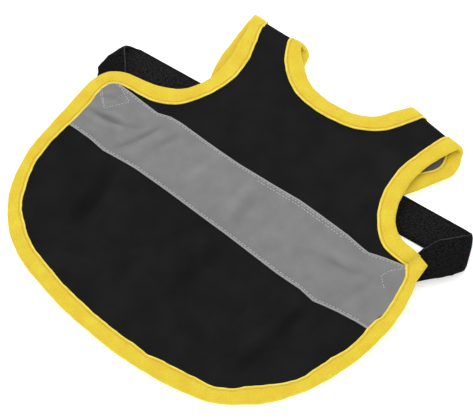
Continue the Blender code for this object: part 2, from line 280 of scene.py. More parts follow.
def runOver(fold, reach, drift, into, layer, straight=True):
    half = math.pi * fold["radius"] / 2
    across = into * fold["along"] * math.hypot(1, drift)

    def place(past, level):
        slid = drift * (2 * half - past) if straight and level != layer else drift * past
        spot = fold["start"] + fold["along"] * (reach + slid) + fold["outward"] * past
        return {"at": spot, "across": across, "layer": level, "fold": fold}

    rows = np.linspace(0, half, garment["foldSteps"] + 1)
    short = half - garment["seamGap"] / 2
    return {
        "first": [place(past, layer) for past in rows],
        "second": [place(past, -layer) for past in rows[-2::-1]],
        "seams": (place(short, layer), place(short, -layer)),
    }


def leanInto(run, goal):
    for place in run:
        near = 1 - eased(np.linalg.norm(place["at"] - goal["at"]), 0, garment["leanReach"])
        place["across"] = place["across"] * (1 - near) + goal["across"] * near


def makeEdges():
    crossings = {}
    for side, shoulder in shoulders.items():
        fold = folds[side]
        reach = np.linalg.norm(np.subtract(shoulder["arm"], shoulder["neck"]))
        crossings[side] = {
            "arm": runOver(fold, reach, shoulder["armDrift"], -1, 1),
            "neck": runOver(fold, 0.0, shoulder["neckDrift"], 1, 1, straight=False),
        }
    right, left = shoulders["right"], shoulders["left"]
    hem = smoothCurve((rightWingTip,) + hemEdge + leftWingEdge + (left["arm"],))
    arm = smoothCurve((right["arm"],) + rightArmEdge + (rightWingTip,))
    chestStart = crossings["left"]["arm"]["second"][-1]["at"]
    chestEnd = crossings["right"]["arm"]["second"][-1]["at"]
    chest = smoothCurve((chestStart,) + chestLeftEdge + chestRightEdge + (chestEnd,))
    neck = smoothCurve((right["neck"],) + neckEdge + (left["neck"],))
    slope = (right["neck"][1] - left["neck"][1]) / (right["neck"][0] - left["neck"][0])
    foldLine = left["neck"][1] + slope * (neck[:, 0] - left["neck"][0])
    deeper = foldLine - garment["neckDeeper"] * (foldLine - neck[:, 1])
    chestNeck = np.stack((neck[:, 0], deeper), axis=1)[::-1]
    runs = {
        "hem": makeRun(hem, 1, 1)[:-1],
        "arm": makeRun(arm, 1, 1)[1:],
        "chest": makeRun(chest, -1, 1)[1:-1],
        "neck": makeRun(neck, 1, -1)[1:-1],
        "chestNeck": makeRun(chestNeck, -1, -1)[1:-1],
    }
    leftArm, rightArm = crossings["left"]["arm"], crossings["right"]["arm"]
    leftNeck, rightNeck = crossings["left"]["neck"], crossings["right"]["neck"]
    for name, goal in (
        ("hem", leftArm["first"][0]), ("arm", rightArm["first"][0]),
        ("chest", leftArm["second"][-1]), ("chest", rightArm["second"][-1]),
        ("neck", rightNeck["first"][0]), ("neck", leftNeck["first"][0]),
        ("chestNeck", leftNeck["second"][-1]), ("chestNeck", rightNeck["second"][-1]),
    ):
        leanInto(runs[name], goal)
    return runs, leftArm, rightArm, leftNeck, rightNeck


def makeCorner(runs):
    tip = np.array(rightWingTip)
    hemWay = runs["hem"][3]["at"] - tip
    armWay = runs["arm"][-4]["at"] - tip
    hemWay, armWay = hemWay / np.linalg.norm(hemWay), armWay / np.linalg.norm(armWay)
    hemIn = np.array((hemWay[1], -hemWay[0]))
    armIn = np.array((-armWay[1], armWay[0]))
    mitre = (hemIn + armIn) / np.linalg.norm(hemIn + armIn)
    corner = {"at": tip, "across": mitre / np.dot(mitre, hemIn), "layer": 1, "fold": None}
    inside = tip + corner["across"] * garment["bindingWidth"]
    ends = []
    for slip in (-garment["seamSlip"], garment["seamSlip"]):
        at = tip + armWay * (garment["seamFromTip"] + slip)
        across = (inside + armWay * slip - at) / garment["bindingWidth"]
        ends.append({"at": at, "across": across, "layer": 1, "fold": None, "calm": 0.0})
    clear = garment["squareFromTip"]
    for name in ("hem", "arm"):
        runs[name] = [place for place in runs[name] if np.linalg.norm(place["at"] - tip) > clear]
    return *ends, corner


runs, leftArm, rightArm, leftNeck, rightNeck = makeEdges()
hemEnd, armEnd, wingCorner = makeCorner(runs)
outerPlaces = (
    [hemEnd, wingCorner] + runs["hem"] + leftArm["first"] + leftArm["second"] + runs["chest"]
    + rightArm["second"][::-1] + rightArm["first"][::-1] + runs["arm"] + [armEnd]
)
neckPlaces = (
    runs["neck"] + leftNeck["first"] + leftNeck["second"] + runs["chestNeck"]
    + rightNeck["second"][::-1] + rightNeck["first"][::-1]
)
print("edges laid out:", len(outerPlaces) + len(neckPlaces), "places")

# where the binding isn't even: each row the way along it, then how far its outer edge and its lip
# move (inward is above nought)
outerWander = (
    (9, 0, 0), (17, 0.2, -2), (22, 0, -4.2), (31, -0.7, -4.3), (46, -1, -4.3), (54, -1, -4.5),
    (60, -1.5, -4.2), (65, -1.4, -2.4), (73, -1, -2), (84, -0.3, -3), (91, -0.5, -3),
    (99, -0.5, -2.3), (106, -0.6, -1.5), (114, -1.2, -2.3), (121, -1, -3.1), (129, -1.3, -4.2),
    (136, -1.3, -4), (144, -1, -2.8), (151, -1.2, -2), (166, -1, -0.7), (174, -0.6, -0.8),
    (181, -1, -2), (196, -1.2, -2.7), (204, -0.8, -1.7), (211, -0.3, 0), (226, -0.5, 0.4),
    (241, -0.3, -0.5), (249, -0.5, -1.7), (263, -0.9, -0.5), (271, -1, -1.5), (294, -0.7, -1.1),
    (316, -0.6, -0.9), (346, -0.2, -0.5), (368, -0.7, -1.4), (391, -0.7, -2), (406, -0.5, -3),
    (421, -0.2, -2.2), (436, -0.4, -2.9), (451, -0.7, -3.4), (458, -1, -3.2), (466, -0.5, -3),
    (473, 0.3, -2.4), (481, 1, -0.8), (488, 1.4, 0.5), (496, 1.9, 1.3), (503, 2, 1.5),
    (511, 1.7, 1.4), (518, 1.2, 0.6), (526, 0.8, 0), (541, 1.2, 0), (549, 1.7, 0.6),
    (563, 1.6, 1.2), (578, 1, 2), (585, 0.9, 3), (593, 1.9, 3.6), (600, 2.1, 2.5), (608, 1.5, 1),
    (615, 1, 0.3), (630, 0, 0.9), (645, 0, 0.9), (653, 0, 0), (660, 0.5, -0.7), (668, 1, -1.6),
    (675, 0, -1.4), (683, 0, 0), (960, 0, 0), (966, 0.5, -0.7), (975, 1, -1.8), (981, 0.7, -1.9),
    (985, -0.3, -2.1), (988, -1, -2.1), (998, -1.5, -2.4), (1001, -1.6, -1.9), (1008, -0.8, -0.8),
    (1014, 0, 0), (1017, 0, 0.4), (1024, 0, 0.4), (1032, 0, -0.5), (1039, 0, -1.4),
    (1047, 0, -0.7), (1061, 0, -0.2), (1069, 0, 0.4), (1076, 0.6, 0.6), (1091, 1.1, 1),
    (1099, 1.2, 2.4), (1106, 0.9, 3.1), (1114, 0.1, 2), (1121, -0.7, 0.8), (1129, 0, 0),
)
neckWander = (
    (0, 0.4, -0.2), (8, 0.2, 1.3), (22, 0.6, 1.5), (38, 0.5, 0.4), (52, 0.5, 0.3), (60, 0.4, 1),
    (75, 0.6, 1.7), (82, 0.9, 1.6), (90, 0.6, 1.8), (97, 1.1, 1.9), (102, 1.5, 1),
    (107, 1.5, -0.8), (110, 1, -2.6), (112, -1.2, -3.2), (114, -3.8, -3.2), (118, -4.8, -2),
    (124, -3.6, 0), (132, -1.4, 0), (140, 0, 0), (240, 0, 0), (246, 0.4, -0.2),
)


def setWander(places, rows):
    marks, edges, lips = zip(*rows)
    for mark, place in zip(lengthAlong([place["at"] for place in places]), places):
        place["edge"] = float(np.interp(mark, marks, edges))
        place["lip"] = float(np.interp(mark, marks, lips))


setWander(outerPlaces, outerWander)
setWander(neckPlaces, neckWander)


# mesh helpers
def meshFrom(name, mesh):
    data = bpy.data.meshes.new(name)
    mesh.to_mesh(data)
    mesh.free()
    return data


def linkNew(name, data):
    item = bpy.data.objects.new(name, data)
    bpy.context.scene.collection.objects.link(item)
    return item


def sendToScene(name, mesh, materials):
    bmesh.ops.translate(mesh, verts=mesh.verts, vec=(*garment["toOrigin"], 0))
    bmesh.ops.scale(mesh, verts=mesh.verts, vec=(0.001, 0.001, 0.001))
    for face in mesh.faces:
        face.smooth = True
    data = meshFrom(name, mesh)
    for material in materials:
        data.materials.append(material)
    piece = linkNew(name, data)
    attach(piece, "root")
    return piece


# a tube of sections round a path; every face keeps its way along and round it as a map
def wrapSleeve(places, sectionAt, closed, turnAt=None, edgeColumns=(), innerColumns=()):
    along = lengthAlong([place["at"] for place in places])
    sections = [np.array(sectionAt(mark, place)) for mark, place in zip(along, places)]
    around = len(sections[0])
    spans = len(places) if closed else len(places) - 1
    total = along[-1] + (np.linalg.norm(places[-1]["at"] - places[0]["at"]) if closed else 0)
    sleeve = bmesh.new()
    bmesh.ops.create_grid(sleeve, x_segments=around, y_segments=spans, size=1)
    uv = sleeve.loops.layers.uv.new("alongAcross")
    tone = sleeve.verts.layers.float.new("creaseShadeAndTone") if innerColumns else None
    spot = {}
    for vertex in sleeve.verts:
        column = round((vertex.co.x + 1) / 2 * around)
        row = round((vertex.co.y + 1) / 2 * spans)
        spot[vertex] = (row, column)
        if column in innerColumns:
            vertex[tone] = places[row]["innerTone"]
    girths = []
    for section in sections:
        girth = lengthAlong(np.vstack((section, section[:1])))
        if turnAt:  # both faces of a folded strip are measured from its lip
            girth = np.minimum(girth, abs(girth[turnAt - 1] - girth))
        girths.append(girth)
    for face in sleeve.faces:
        row, column = (min(spot[vertex][k] for vertex in face.verts) for k in (0, 1))
        # edge faces that ask for it take the second material, a painted highlight along the strap's
        # folded edge
        if column in edgeColumns and places[row].get("pale"):
            face.material_index = 1
        for loop in face.loops:
            row, column = spot[loop.vert]
            mark = total if row >= len(places) else along[row]
            loop[uv].uv = (mark, girths[row % len(places)][column])
    laid = []
    for place, section in zip(places, sections):
        flat = place["at"] + np.outer(section[:, 0], place["across"])
        laid.append(drape(np.column_stack((flat, section[:, 1])), place["layer"], place["fold"]))
    for vertex, (row, column) in spot.items():
        vertex.co = laid[row % len(places)][column % around]
    bmesh.ops.remove_doubles(sleeve, verts=sleeve.verts, dist=garment["weldDistance"])
    openEdges = [edge for edge in sleeve.edges if edge.is_boundary]
    if openEdges:
        bmesh.ops.holes_fill(sleeve, edges=openEdges)
    bmesh.ops.recalc_face_normals(sleeve, faces=sleeve.faces)
    return sleeve


def cutAcross(cloth, point, normal, faces=None, clear=False):
    if faces is None:
        geometry = cloth.verts[:] + cloth.edges[:] + cloth.faces[:]
    else:
        edges = {edge for face in faces for edge in face.edges}
        verts = {vertex for face in faces for vertex in face.verts}
        geometry = [*verts, *edges, *faces]
    bmesh.ops.bisect_plane(
        cloth,
        geom=geometry,
        dist=garment["weldDistance"],
        plane_co=(*point, 0),
        plane_no=(*normal, 0),
        clear_outer=clear,
    )


def sideOf(x):
    return "right" if x > neckMiddle else "left"


def cutPanel(places, insets):
    cloth = bmesh.new()
    outline = [place["at"] + place["across"] * inset for place, inset in zip(places, insets)]
    cloth.faces.new([cloth.verts.new((x, y, 0)) for x, y in outline])
    return cloth


def gridPanel(cloth, step):
    spots = np.array([vertex.co[:2] for vertex in cloth.verts])
    low, high = spots.min(axis=0), spots.max(axis=0)
    cutAcross(cloth, (neckMiddle, 0), (1, 0))
    for x in np.arange(low[0] + step / 2, high[0], step):
        cutAcross(cloth, (x, 0), (1, 0))
    for y in np.arange(low[1] + step / 2, high[1], step):
        cutAcross(cloth, (0, y), (0, 1))


def shoulderCuts(cloth):
    for side, fold in folds.items():
        half = math.pi * fold["radius"] / 2
        for past in np.linspace(0, half, garment["foldSteps"] + 1)[:-1]:
            point = fold["start"] + fold["outward"] * past
            own = [face for face in cloth.faces if sideOf(face.calc_center_median().x) == side]
            cutAcross(cloth, point, fold["outward"], faces=own)


def mapFlat(cloth):
    uv = cloth.loops.layers.uv.new("alongAcross")
    for face in cloth.faces:
        for loop in face.loops:
            loop[uv].uv = (loop.vert.co.x, loop.vert.co.y)


def turnFaces(cloth, upward):
    for face in cloth.faces:
        face.normal_update()
    facing = sum(face.normal.z * face.calc_area() for face in cloth.faces)
    if (facing > 0) != upward:
        bmesh.ops.reverse_faces(cloth, faces=cloth.faces)


def layPanel(cloth, layer):
    mapFlat(cloth)
    for side, fold in folds.items():
        own = [vertex for vertex in cloth.verts if sideOf(vertex.co.x) == side]
        points = np.array([(vertex.co.x, vertex.co.y, 0.0) for vertex in own])
        for vertex, spot in zip(own, drape(points, layer, fold)):
            vertex.co = spot
    turnFaces(cloth, layer > 0)


def addThickness(piece, thickness, backMaterial=0):
    solid = piece.modifiers.new("thickness", "SOLIDIFY")
    solid.thickness = thickness * 0.001
    solid.offset = 0.0
    solid.material_offset = backMaterial
    solid.use_even_offset = False


# shader nodes: a socket among the values is linked, and any other value is set
def feed(tree, node, values):
    for name, value in values.items():
        if isinstance(value, bpy.types.NodeSocket):
            tree.links.new(value, node.inputs[name])
        else:
            node.inputs[name].default_value = value
    return node


def addNode(tree, kind, values=None):
    return feed(tree, tree.nodes.new("ShaderNode" + kind), values or {})


def mathNode(tree, operation, *values):
    node = addNode(tree, "Math")
    node.operation = operation
    return feed(tree, node, dict(enumerate(values))).outputs[0]


def mixNode(tree, mask, first, second):
    node = addNode(tree, "Mix")
    node.data_type = "RGBA"
    return feed(tree, node, {0: mask, 6: first, 7: second}).outputs[2]


def noiseNode(tree, vector, values):
    return addNode(tree, "TexNoise", {**values, "Vector": vector}).outputs["Fac"]


def groupNode(tree, group, values):
    node = addNode(tree, "Group")
    node.node_tree = group
    return feed(tree, node, values)


# shader groups: each takes a place on the cloth and settings, a tuple being a colour
def newGroup(name, settings, outputs, outputKind):
    group = bpy.data.node_groups.new(name, "ShaderNodeTree")
    sockets = group.interface
    sockets.new_socket(name="Vector", in_out="INPUT", socket_type="NodeSocketVector")
    for label, value in settings.items():
        kind = "NodeSocketColor" if isinstance(value, tuple) else "NodeSocketFloat"
        socket = sockets.new_socket(name=label, in_out="INPUT", socket_type=kind)
        socket.default_value = value
    for label in outputs:
        sockets.new_socket(name=label, in_out="OUTPUT", socket_type=outputKind)
    start, end = group.nodes.new("NodeGroupInput"), group.nodes.new("NodeGroupOutput")
    return group, start.outputs, end


# noise of the patterns, with scales to a millimetre, and how wide the painted highlight on the
# binding's lip and the painted shade in its stitch groove spread, in mm
pattern = {
    "slub": {"Scale": 0.9, "Detail": 3},
    "broadDetail": 4,
    "fleck": {"Scale": 1.6, "Detail": 2},
    "seam": {"Scale": 0.25, "Detail": 3},
    "seamUneven": (2.4, -0.5),
    "lipHighlightReach": 1.1,
    "grooveShadeReach": 0.8,
    "bumpDistance": 0.0003,
}


def makeWeaveGroup():
    settings = {"Thread": 0.6, "Slub": 0.3}
    group, given, end = newGroup("Weave", settings, ["Height"], "NodeSocketFloat")
    apart = addNode(group, "SeparateXYZ", {0: given["Vector"]}).outputs
    turn = mathNode(group, "DIVIDE", math.pi, given["Thread"])
    across = mathNode(group, "SINE", mathNode(group, "MULTIPLY", apart[0], turn))
    along = mathNode(group, "SINE", mathNode(group, "MULTIPLY", apart[1], turn))
    overUnder = mathNode(group, "MULTIPLY", across, along)
    slub = noiseNode(group, given["Vector"], pattern["slub"])
    height = mathNode(group, "MULTIPLY_ADD", overUnder, 0.5, 0.5)
    height = mathNode(group, "ADD", height, mathNode(group, "MULTIPLY", slub, given["Slub"]))
    feed(group, end, {"Height": height})
    return group


def makeMottleGroup():
    settings = {
        "Light": (0.5, 0.5, 0.5, 1), "Dark": (0.4, 0.4, 0.4, 1),
        "Patch": 20.0, "Fleck": 0.2, "Contrast": 1.0,
    }
    group, given, end = newGroup("Mottle", settings, ["Color"], "NodeSocketColor")
    scale = mathNode(group, "DIVIDE", 1.0, given["Patch"])
    broad = {"Scale": scale, "Detail": pattern["broadDetail"]}
    broad = noiseNode(group, given["Vector"], broad)
    fine = noiseNode(group, given["Vector"], pattern["fleck"])
    spread = mathNode(group, "SUBTRACT", fine, 0.5)
    spread = mathNode(group, "MULTIPLY", spread, given["Fleck"])
    mask = mathNode(group, "SUBTRACT", mathNode(group, "ADD", broad, spread), 0.5)
    mask = mathNode(group, "MULTIPLY", mask, given["Contrast"])
    mask = mathNode(group, "ADD", mask, 0.5)
    feed(group, end, {"Color": mixNode(group, mask, given["Dark"], given["Light"])})
    return group


# masks for the painted highlight along the binding's lip and the painted shade in its stitch groove
def makeLipShadeGroup():
    settings = {"LipHighlight": 1.2, "GrooveShade": 2.9}
    group, given, end = newGroup("Seam", settings, ["LipHighlight", "GrooveShade"], "NodeSocketFloat")
    inward = addNode(group, "SeparateXYZ", {0: given["Vector"]}).outputs[1]
    patches = noiseNode(group, given["Vector"], pattern["seam"])
    uneven = mathNode(group, "MULTIPLY_ADD", patches, *pattern["seamUneven"])
    for label, reach in (("LipHighlight", pattern["lipHighlightReach"]), ("GrooveShade", pattern["grooveShadeReach"])):
        off = mathNode(group, "ABSOLUTE", mathNode(group, "SUBTRACT", inward, given[label]))
        off = mathNode(group, "DIVIDE", off, reach)
        mask = mathNode(group, "MAXIMUM", mathNode(group, "SUBTRACT", 1.0, off), 0.0)
        mask = mathNode(group, "MAXIMUM", mathNode(group, "MULTIPLY", mask, uneven), 0.0)
        feed(group, end, {label: mathNode(group, "MINIMUM", mask, 1.0)})
    return group


weaveGroup = makeWeaveGroup()
mottleGroup = makeMottleGroup()
lipShadeGroup = makeLipShadeGroup()


def clothMaterial(name, look):
    material = bpy.data.materials.new(name)
    material.use_nodes = True
    tree = material.node_tree
    if look.get("loose"):  # thread has no strip to follow, so it goes by where it lies, in mm
        at = addNode(tree, "TexCoord").outputs["Object"]
        place = addNode(tree, "Mapping", {"Vector": at, "Scale": (1000, 1000, 1000)})
    else:
        place = addNode(tree, "UVMap")
        place.uv_map = "alongAcross"
    vector = {"Vector": place.outputs[0]}
    weave = groupNode(tree, weaveGroup, {**vector, "Thread": look["thread"], "Slub": look["slub"]})
    mottle = groupNode(tree, mottleGroup, {
        **vector, "Light": (*look["light"], 1), "Dark": (*look["dark"], 1),
        "Patch": look["patch"], "Fleck": look["fleck"], "Contrast": look.get("contrast", 1.0),
    })
    colour = mottle.outputs["Color"]
    # painted shade and highlight: crease troughs darken and ridges lighten the colour; the strap's
    # inner face is made lighter by the same value
    if "creaseShadeAndToneGain" in look:
        marks = addNode(tree, "Attribute")
        marks.attribute_name = "creaseShadeAndTone"
        lift = mathNode(tree, "MULTIPLY_ADD", marks.outputs["Fac"], look["creaseShadeAndToneGain"], 1.0)
        shade = addNode(tree, "VectorMath")
        shade.operation = "SCALE"
        colour = feed(tree, shade, {0: colour, "Scale": lift}).outputs[0]
    # painted highlight along the binding's lip and painted shade in its stitch groove
    if "lip" in look:
        seam = groupNode(tree, lipShadeGroup, vector)
        for label, lightShadeTint in (("GrooveShade", look["grooveShade"]), ("LipHighlight", look["lip"])):
            colour = mixNode(tree, seam.outputs[label], colour, (*lightShadeTint, 1))
    bump = {"Strength": look["bump"], "Distance": pattern["bumpDistance"]}
    bump = addNode(tree, "Bump", {**bump, "Height": weave.outputs["Height"]})
    feed(tree, tree.nodes["Principled BSDF"], {
        "Roughness": look["roughness"], "Specular IOR Level": look["specular"],
        "Sheen Weight": look["sheen"], "Sheen Roughness": 0.5,
        "Base Color": colour, "Normal": bump.outputs[0],
    })
    return material


# black back and chest cloth, with a greyer inside made lighter still as painted sheen, standing in
# for light on the inside where it shows in the shaded loops
clothLook = {
    "roughness": 0.75, "specular": 0.04, "sheen": 0.0, "thread": 0.55, "slub": 0.35,
    "light": (0.0138, 0.0138, 0.0142), "dark": (0.0080, 0.0080, 0.0083), "patch": 20.0,
    "fleck": 1.5, "contrast": 1.8, "bump": 0.5, "creaseShadeAndToneGain": 0.24,
}
insideGreyAndSheenLook = {
    "roughness": 0.6, "specular": 0.4, "sheen": 0.05, "thread": 0.55, "slub": 0.3,
    "light": (0.170, 0.150, 0.185), "dark": (0.120, 0.106, 0.132), "patch": 14.0,
    "fleck": 0.5, "bump": 0.4,
}
# yellow binding; its lip colour is a painted highlight along the inner edge and its groove colour
# is painted shade in the stitch groove
bindingLook = {
    "roughness": 0.75, "specular": 0.25, "sheen": 0.1, "thread": 0.5, "slub": 0.5,
    "light": (0.84, 0.70, 0.048), "dark": (0.77, 0.50, 0.022), "patch": 11.0,
    "fleck": 2.0, "contrast": 1.5, "bump": 0.6,
    "lip": (1.0, 0.88, 0.16), "grooveShade": (0.64, 0.36, 0.013),
}
tapeLook = {
    "roughness": 0.5, "specular": 0.4, "sheen": 0.0, "thread": 0.4, "slub": 0.3,
    "light": (0.215, 0.215, 0.213), "dark": (0.155, 0.155, 0.155), "patch": 13.0,
    "fleck": 0.5, "contrast": 1.5, "bump": 0.12, "creaseShadeAndToneGain": 0.28,
}
tapeEdgeLook = dict(tapeLook, light=(0.36, 0.36, 0.36), dark=(0.28, 0.28, 0.28), patch=4.0)
strapLook = {
    "roughness": 0.9, "specular": 0.02, "sheen": 0.02, "thread": 0.9, "slub": 0.9,
    "light": (0.0150, 0.0150, 0.0155), "dark": (0.0006, 0.0006, 0.0007), "patch": 2.0,
    "fleck": 3.0, "contrast": 2.4, "bump": 0.8, "creaseShadeAndToneGain": 1.0,
}
# painted highlight along the strap's folded near edge
strapEdgeHighlightLook = dict(strapLook, light=(0.060, 0.060, 0.062), dark=(0.018, 0.018, 0.019), patch=6.0)
threadLook = {
    "roughness": 0.7, "specular": 0.3, "sheen": 0.1, "thread": 0.2, "slub": 0.3,
    "light": (0.82, 0.58, 0.05), "dark": (0.70, 0.45, 0.03), "patch": 6.0,
    "fleck": 0.6, "bump": 0.3, "loose": True,
}
greyThreadLook = dict(threadLook, light=(0.72, 0.72, 0.72), dark=(0.48, 0.48, 0.48), sheen=0.0)

blackCloth = clothMaterial("blackCloth", clothLook)
clothInside = clothMaterial("clothInside", insideGreyAndSheenLook)
yellowBinding = clothMaterial("yellowBinding", bindingLook)
greyTape = clothMaterial("greyTape", tapeLook)
greyTapeEdge = clothMaterial("greyTapeEdge", tapeEdgeLook)
blackElastic = clothMaterial("blackElastic", strapLook)
elasticEdgeHighlight = clothMaterial("elasticEdgeHighlight", strapEdgeHighlightLook)
yellowThread = clothMaterial("yellowThread", threadLook)
greyThread = clothMaterial("greyThread", greyThreadLook)
print("materials made")

# stitches: one small spindle, copied along a line of points with slightly uneven steps
stitching = {"drift": 0.12, "driftPace": 2.39, "swell": 0.15, "swellPace": 1.71}


def makeSpindle():
    ball = bmesh.new()
    bmesh.ops.create_uvsphere(ball, u_segments=6, v_segments=4, radius=1)
    return meshFrom("spindle", ball)


spindle = makeSpindle()


def sewLine(sewing, spots, normals, thread):
    along = lengthAlong(spots)
    for k in range(int(along[-1] / thread["pitch"])):
        drift = stitching["drift"] * math.sin(k * stitching["driftPace"])
        middle = (k + 0.5 + drift) * thread["pitch"]
        swell = 1 + stitching["swell"] * math.sin(k * stitching["swellPace"])
        reach = thread["length"] / 2 * swell
        ends = [
            np.array([np.interp(middle + way * reach, along, spots[:, axis]) for axis in range(3)])
            for way in (-1, 1)
        ]
        up = Vector([np.interp(middle, along, normals[:, axis]) for axis in range(3)]).normalized()
        way = Vector(ends[1] - ends[0])
        half = way.length / 2
        way.normalize()
        side = up.cross(way).normalized()
        turned = Matrix((way, side, up)).transposed().to_4x4()
        size = Matrix.Diagonal((half, thread["width"] / 2, thread["height"] / 2, 1))
        centre = Matrix.Translation(Vector((ends[0] + ends[1]) / 2) + up * thread["lift"])
        stitch = spindle.copy()
        stitch.transform(centre @ turned @ size)
        sewing.from_mesh(stitch)
        bpy.data.meshes.remove(stitch)


# a line beside the binding's lip, with normals that point away from the cloth's middle
def edgeLine(places, inward, rise):
    spots, sideways, middles = [], [], []
    for place in places:
        here = inward + place["lip"]
        flat = [place["at"] + place["across"] * (here + step) for step in (-0.5, 0, 0.5)]
        laid = drape([(*spot, rise) for spot in flat], place["layer"], place["fold"])
        spots.append(laid[1])
        sideways.append(laid[2] - laid[0])
        middles.append(drape([(*flat[1], 0)], place["layer"], place["fold"])[0])
    spots = np.array(spots)
    normals = np.cross(np.gradient(spots, axis=0), sideways)
    normals /= np.linalg.norm(normals, axis=1)[:, None]
    outward = np.sum((spots - middles) * normals, axis=1)
    normals[outward < 0] *= -1
    return spots, normals


# folded yellow binding
binding = {
    "stitchIn": 1.75,
    "stitchDip": 0.36,
    "stitchRise": 0.02,
    "sewnPast": 4,
    "pucker": 0.1,
    "puff": 0.16,
    "edgeIn": 0.15,
    "thread": {"pitch": 3.0, "length": 2.3, "width": 0.55, "height": 0.45, "lift": 0.0},
    # small waves along the strip, each row height and pace; each part has its phase and share
    "ripples": ((0.22, 6.1), (0.16, 2.7), (0.10, 1.3)),
    "lipWaves": (0.4, 0.7),
    "puffWaves": (1.9, 0.35),
    "edgeWaves": (3.1, 0.5),
    # rows of the section: the lip and groove, inward and rise; the crown, share of its width and of
    # the puff; the fold, in degrees
    "lipRows": ((0.0, 0.86), (0.12, 1.2), (-0.06, 1.55), (-0.45, 1.74), (-1.0, 1.69)),
    "grooveRows": ((0.35, 0.1), (0.0, 0.0), (-0.4, 0.14)),
    "crownRows": ((0.25, 0.8), (0.52, 1.0), (0.8, 0.7)),
    "foldAngles": (72, 50, 28, 9, -9, -28, -50, -72),
    "crownFromStitch": 1.3,
    "crownFromEdge": 1.5,
    "crownDip": 0.03,
    "channelFromLip": 0.1,
    "channelFromEdge": 1.9,
    "channelPoint": 0.7,
    "outsidePoints": 32,
}


def stripWave(mark, phase, share):
    rows = enumerate(binding["ripples"], start=1)
    return sum(height * math.sin(mark / pace + k * phase) for k, (height, pace) in rows) * share


def bindingSection(mark, place):
    width, half, calm = garment["bindingWidth"], garment["bindingHalf"], place.get("calm", 1.0)
    pucker = binding["pucker"] * math.cos(2 * math.pi * mark / binding["thread"]["pitch"]) * calm
    lip = width + place["lip"] + stripWave(mark, *binding["lipWaves"]) * calm
    dip = half - binding["stitchDip"] - pucker * 0.5
    puff = binding["puff"] + stripWave(mark, *binding["puffWaves"]) * calm
    edge = place["edge"] + stripWave(mark, *binding["edgeWaves"]) * calm + binding["edgeIn"]
    stitch = lip - binding["stitchIn"]
    crown = stitch - binding["crownFromStitch"]
    crownWay = edge + binding["crownFromEdge"] - crown
    top = [(lip + inward, rise) for inward, rise in binding["lipRows"]]
    top += [(stitch + inward, dip + rise) for inward, rise in binding["grooveRows"]]
    top += [(crown, half - binding["crownDip"])]
    top += [(crown + crownWay * share, half + puff * full) for share, full in binding["crownRows"]]
    arc = [
        (half + edge - half * math.cos(angle), half * math.sin(angle))
        for angle in np.radians(binding["foldAngles"])
    ]
    bottom = [(inward, -min(rise, half)) for inward, rise in reversed(top)]
    mouth, deep = lip - binding["channelFromLip"], edge + binding["channelFromEdge"]
    point, channel = deep - binding["channelPoint"], garment["channelHalf"]
    inner = [(mouth, -channel), (deep, -channel), (point, 0.0), (deep, channel), (mouth, channel)]
    return top + arc + bottom + inner


outerSleeve = wrapSleeve(outerPlaces, bindingSection, False, turnAt=binding["outsidePoints"])
outerBinding = sendToScene("outerBinding", outerSleeve, [yellowBinding])
neckSleeve = wrapSleeve(neckPlaces, bindingSection, True, turnAt=binding["outsidePoints"])
neckBinding = sendToScene("neckBinding", neckSleeve, [yellowBinding])
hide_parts("outer_binding")
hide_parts("neck_binding")

bindingSewing = bmesh.new()
stitchIn = garment["bindingWidth"] - binding["stitchIn"]
depth = garment["bindingHalf"] - binding["stitchDip"] + binding["stitchRise"]
for places in (outerPlaces[binding["sewnPast"]:-binding["sewnPast"]], neckPlaces):
    for side in (1, -1):
        sewLine(bindingSewing, *edgeLine(places, stitchIn, side * depth), binding["thread"])
bindingStitches = sendToScene("bindingStitches", bindingSewing, [yellowThread])
print("bindings made:", len(outerPlaces) + len(neckPlaces), "sections")

# cloth panels
panel = {"grid": 2.0, "inset": 2.6, "thickness": 1.0}
backPlaces = (
    [wingCorner] + runs["hem"] + leftArm["first"][:-1]
    + [leftArm["seams"][0], leftNeck["seams"][0]] + leftNeck["first"][-2::-1]
    + runs["neck"][::-1] + rightNeck["first"][:-1]
    + [rightNeck["seams"][0], rightArm["seams"][0]] + rightArm["first"][-2::-1] + runs["arm"]
)
chestPlaces = (
    [leftArm["seams"][1]] + leftArm["second"] + runs["chest"] + rightArm["second"][::-1]
    + [rightArm["seams"][1], rightNeck["seams"][1]] + rightNeck["second"]
    + runs["chestNeck"][::-1] + leftNeck["second"][::-1] + [leftNeck["seams"][1]]
)


def makePanel(name, places, layer):
    cloth = cutPanel(places, [panel["inset"] + max(0, place.get("edge", 0)) for place in places])
    gridPanel(cloth, panel["grid"])
    shoulderCuts(cloth)
    if layer > 0:
        paintCreaseShade(cloth)
    layPanel(cloth, layer)
    piece = sendToScene(name, cloth, [blackCloth, clothInside])
    addThickness(piece, panel["thickness"], backMaterial=1)
    return piece


backCloth = makePanel("backCloth", backPlaces, 1)
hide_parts("back_panel")
chestCloth = makePanel("chestCloth", chestPlaces, -1)
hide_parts("chest_panel")
print("panels made:", len(backCloth.data.polygons), len(chestCloth.data.polygons), "faces")

